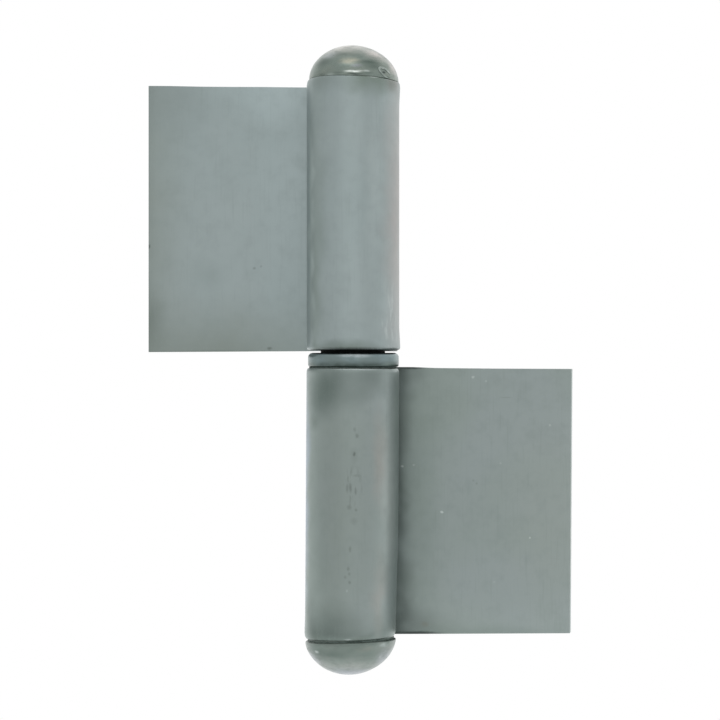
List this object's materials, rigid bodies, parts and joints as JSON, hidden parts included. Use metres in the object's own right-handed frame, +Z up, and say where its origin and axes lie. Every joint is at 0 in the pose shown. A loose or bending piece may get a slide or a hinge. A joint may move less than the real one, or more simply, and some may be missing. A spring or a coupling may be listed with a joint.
{
  "type": "weld-on hinge",
  "caption": "Lift-off flag hinge of bare steel: rolled leaves to either side of a domed barrel, turning on a fixed pin over a loose bearing ring, for welding to a gate or door.",
  "frame": {"origin": "on the pin's axis, half way along the overall length over the domed ends, in the gap that the bearing ring fills", "axes": "+Z up along the pin, towards the leaf that lifts off; +X from the pin towards the frame leaf's free edge; +Y out of the leaves' flat backs"},
  "size_m": [0.096, 0.0206, 0.14],
  "materials": {
    "frame_leaf_steel": "bare rolled steel, satin, lightly marked",
    "door_leaf_steel": "bare rolled steel, satin",
    "pin_steel": "ground",
    "ring_steel": "turned, satin",
    "lower_cap_steel": "turned, half bright",
    "upper_cap_steel": "turned, half bright"
  },
  "bodies": {
    "frame_side": {"lower_leaf": "frame_leaf_steel", "hinge_pin": "pin_steel", "lower_end_cap": "lower_cap_steel"},
    "ring": {"bearing_ring": "ring_steel"},
    "door_side": {"upper_leaf": "door_leaf_steel", "upper_end_cap": "upper_cap_steel"}
  },
  "joints": [
    {"name": "swing", "type": "hinge", "parent": "frame_side", "child": "ring", "pos_m": [0, 0, 0], "axis": [0, 0, 1], "continuous": true},
    {"name": "lift_off", "type": "slide", "parent": "ring", "child": "door_side", "axis": [0, 0, 1], "range_m": [0, 0.06]}
  ]
}
